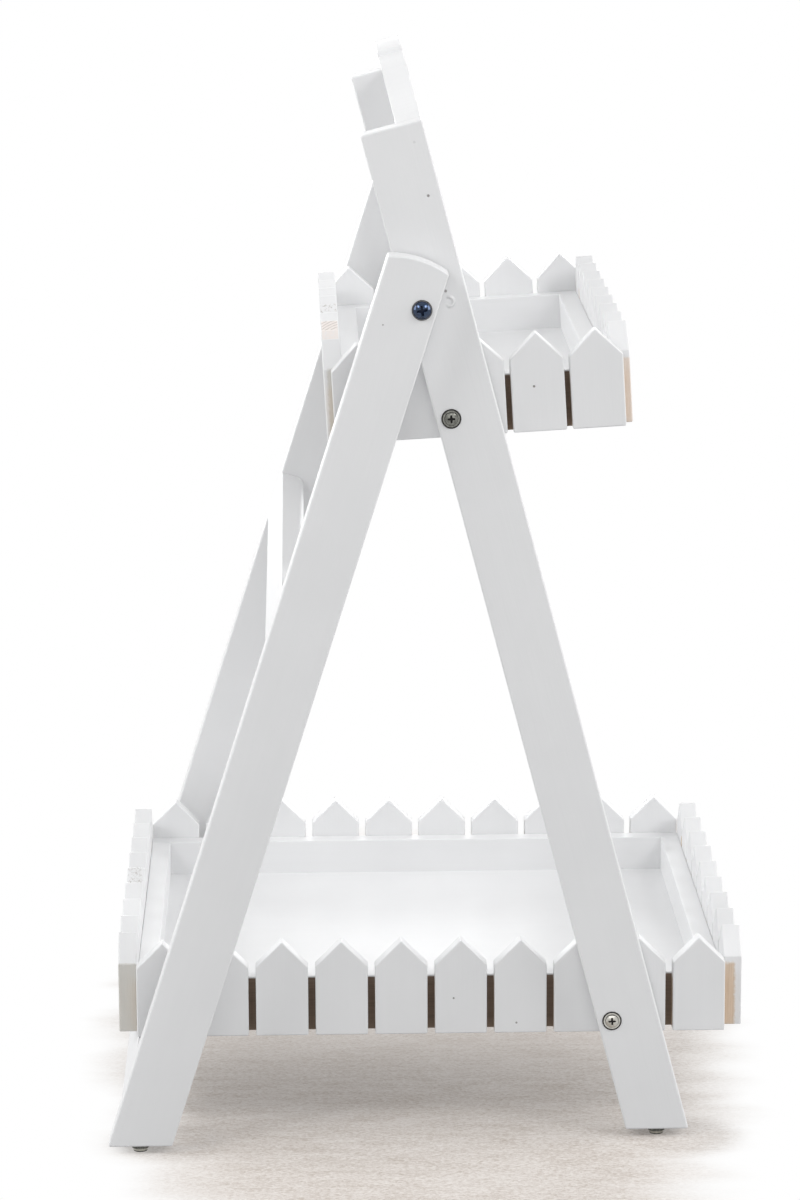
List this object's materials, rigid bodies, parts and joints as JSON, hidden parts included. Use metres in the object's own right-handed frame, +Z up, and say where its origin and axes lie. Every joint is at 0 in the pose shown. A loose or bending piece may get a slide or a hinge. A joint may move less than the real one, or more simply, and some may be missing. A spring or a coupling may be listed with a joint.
{
  "type": "folding tray step shelf",
  "caption": "Folding A-frame step shelf with a small tilting upper tray and a large lower tray, both fenced with pointed pickets, under an arched crest board",
  "frame": {"origin": "On the floor, under the middle of the stand's bounding box", "axes": "+Z up; +X the stand's right side seen from its front; -Y the front, where both trays face, and +Y the back, where the rear legs stand"},
  "size_m": [0.4402, 0.3978, 0.6697],
  "materials": {
    "white_paint": "white satin paint over planed softwood, with slightly soft edges and filled nail holes",
    "box_paint": "white paint on the inner faces of the boxes, bare softwood on the faces behind the pickets",
    "dowel_wood": "bare hardwood dowel, hidden in its holes",
    "blued_steel": "blue-black finish with a soft gloss",
    "dull_steel": "dull grey steel",
    "nickel": "satin nickel plate",
    "zinc": "bright zinc plate",
    "brass_insert": "plain turned brass, hidden in the wood",
    "nylon": "natural nylon washer",
    "glide_steel": "dull plated steel, darker where it meets the floor"
  },
  "bodies": {
    "front_frame": {"front_leg_left": "white_paint", "front_leg_right": "white_paint", "crest_board": "white_paint", "crest_nails": "zinc", "pivot_bolts": "blued_steel", "pivot_washers": "zinc", "pivot_inserts": "brass_insert", "pivot_spacers": "nylon", "upper_tray_spacers": "nylon", "lower_tray_spacers": "nylon", "front_glide_left": "glide_steel", "front_glide_right": "glide_steel"},
    "rear_frame": {"rear_leg_left": "white_paint", "rear_leg_right": "white_paint", "rear_rail_upper": "white_paint", "rear_rail_lower": "white_paint", "rear_rail_dowels": "dowel_wood", "rear_glide_left": "glide_steel", "rear_glide_right": "glide_steel"},
    "upper_tray": {"upper_floor": "box_paint", "upper_box_left": "box_paint", "upper_box_right": "box_paint", "upper_box_front": "box_paint", "upper_box_back": "box_paint", "upper_pickets_left": "white_paint", "upper_pickets_right": "white_paint", "upper_pickets_front": "white_paint", "upper_pickets_back": "white_paint", "upper_corner_screws": "zinc", "upper_brads": "zinc", "upper_screws": "dull_steel", "upper_screw_washers": "zinc", "upper_inserts": "brass_insert"},
    "lower_tray": {"lower_floor": "box_paint", "lower_box_left": "box_paint", "lower_box_right": "box_paint", "lower_box_front": "box_paint", "lower_box_back": "box_paint", "lower_pickets_left": "white_paint", "lower_pickets_right": "white_paint", "lower_pickets_front": "white_paint", "lower_pickets_back": "white_paint", "lower_corner_screws": "zinc", "lower_brads": "zinc", "lower_screws": "nickel", "lower_screw_washers": "zinc", "lower_inserts": "brass_insert"}
  },
  "joints": [
    {"name": "rear_frame_fold", "type": "hinge", "parent": "front_frame", "child": "rear_frame", "pos_m": [0, 0.00218, 0.52638], "axis": [-1, 0, 0], "range_deg": [0, 31]},
    {"name": "lower_tray_tilt", "type": "hinge", "parent": "front_frame", "child": "lower_tray", "pos_m": [0, -0.11503, 0.0764], "axis": [1, 0, 0], "range_deg": [0, 75]},
    {"name": "upper_tray_tilt", "type": "hinge", "parent": "front_frame", "child": "upper_tray", "pos_m": [0, -0.01584, 0.45719], "axis": [-1, 0, 0], "range_deg": [-10, 101]}
  ]
}
